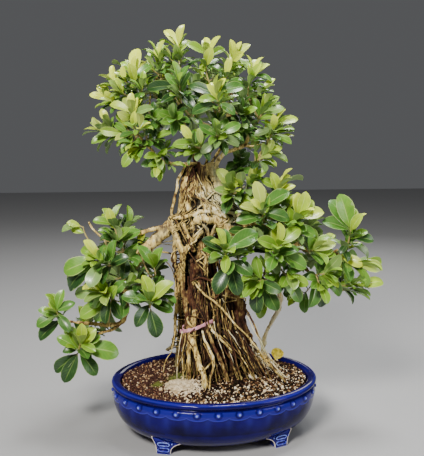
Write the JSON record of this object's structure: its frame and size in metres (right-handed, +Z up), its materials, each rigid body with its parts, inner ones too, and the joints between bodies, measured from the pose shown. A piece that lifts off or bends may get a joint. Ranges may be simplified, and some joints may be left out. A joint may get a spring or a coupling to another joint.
{
  "type": "ficus bonsai",
  "caption": "Ficus bonsai with a trunk of fused aerial roots, leafy sprays and a round crown, in a glazed oval pot filled with grit.",
  "frame": {"origin": "on the surface the feet stand on, under the middle of the whole plant's width, 8 mm left of the pot's middle", "axes": "+Z up, +X along the pot's long side to the right as seen from the front, +Y to the back"},
  "size_m": [0.6631, 0.3336, 0.7708],
  "materials": {
    "glaze": "thick glossy cobalt glaze on stoneware",
    "soil": "loose brown, maroon and beige grit",
    "bark": "tan to grey bark with ochre and reddish roots",
    "leaf": "thick waxy leaves, yellow green when young and dark green when old",
    "yellow_leaf": "yellowed leaf",
    "tie": "soft pink tie",
    "pale_stone": "matt pale porous stone",
    "beige_stone": "matt beige pebble"
  },
  "bodies": {
    "root": {"fallen_leaf_1": "yellow_leaf", "fallen_leaf_2": "yellow_leaf", "pebble": "beige_stone", "pot": "glaze", "soil": "soil", "spray_01": "leaf", "spray_02": "leaf", "spray_03": "leaf", "spray_04": "leaf", "spray_05": "leaf", "spray_08": "leaf", "spray_09": "leaf", "spray_11": "leaf", "spray_12": "leaf", "spray_13": "leaf", "spray_14": "leaf", "spray_15": "leaf", "spray_16": "leaf", "spray_17": "leaf", "spray_18": "leaf", "spray_19": "leaf", "spray_20": "leaf", "spray_21": "leaf", "spray_23": "leaf", "spray_24": "leaf", "spray_26": "leaf", "spray_27": "leaf", "spray_28": "leaf", "spray_29": "leaf", "spray_31": "leaf", "spray_32": "leaf", "spray_33": "leaf", "spray_34": "leaf", "spray_36": "leaf", "spray_37": "leaf", "spray_39": "leaf", "spray_41": "leaf", "spray_42": "leaf", "spray_43": "leaf", "spray_44": "leaf", "spray_45": "leaf", "spray_47": "leaf", "spray_48": "leaf", "spray_51": "leaf", "spray_52": "leaf", "spray_55": "leaf", "spray_57": "leaf", "spray_58": "leaf", "spray_59": "leaf", "spray_61": "leaf", "spray_62": "leaf", "spray_63": "leaf", "spray_65": "leaf", "spray_66": "leaf", "spray_69": "leaf", "tie": "tie", "white_stone": "pale_stone", "wood": "bark"}
  },
  "joints": []
}
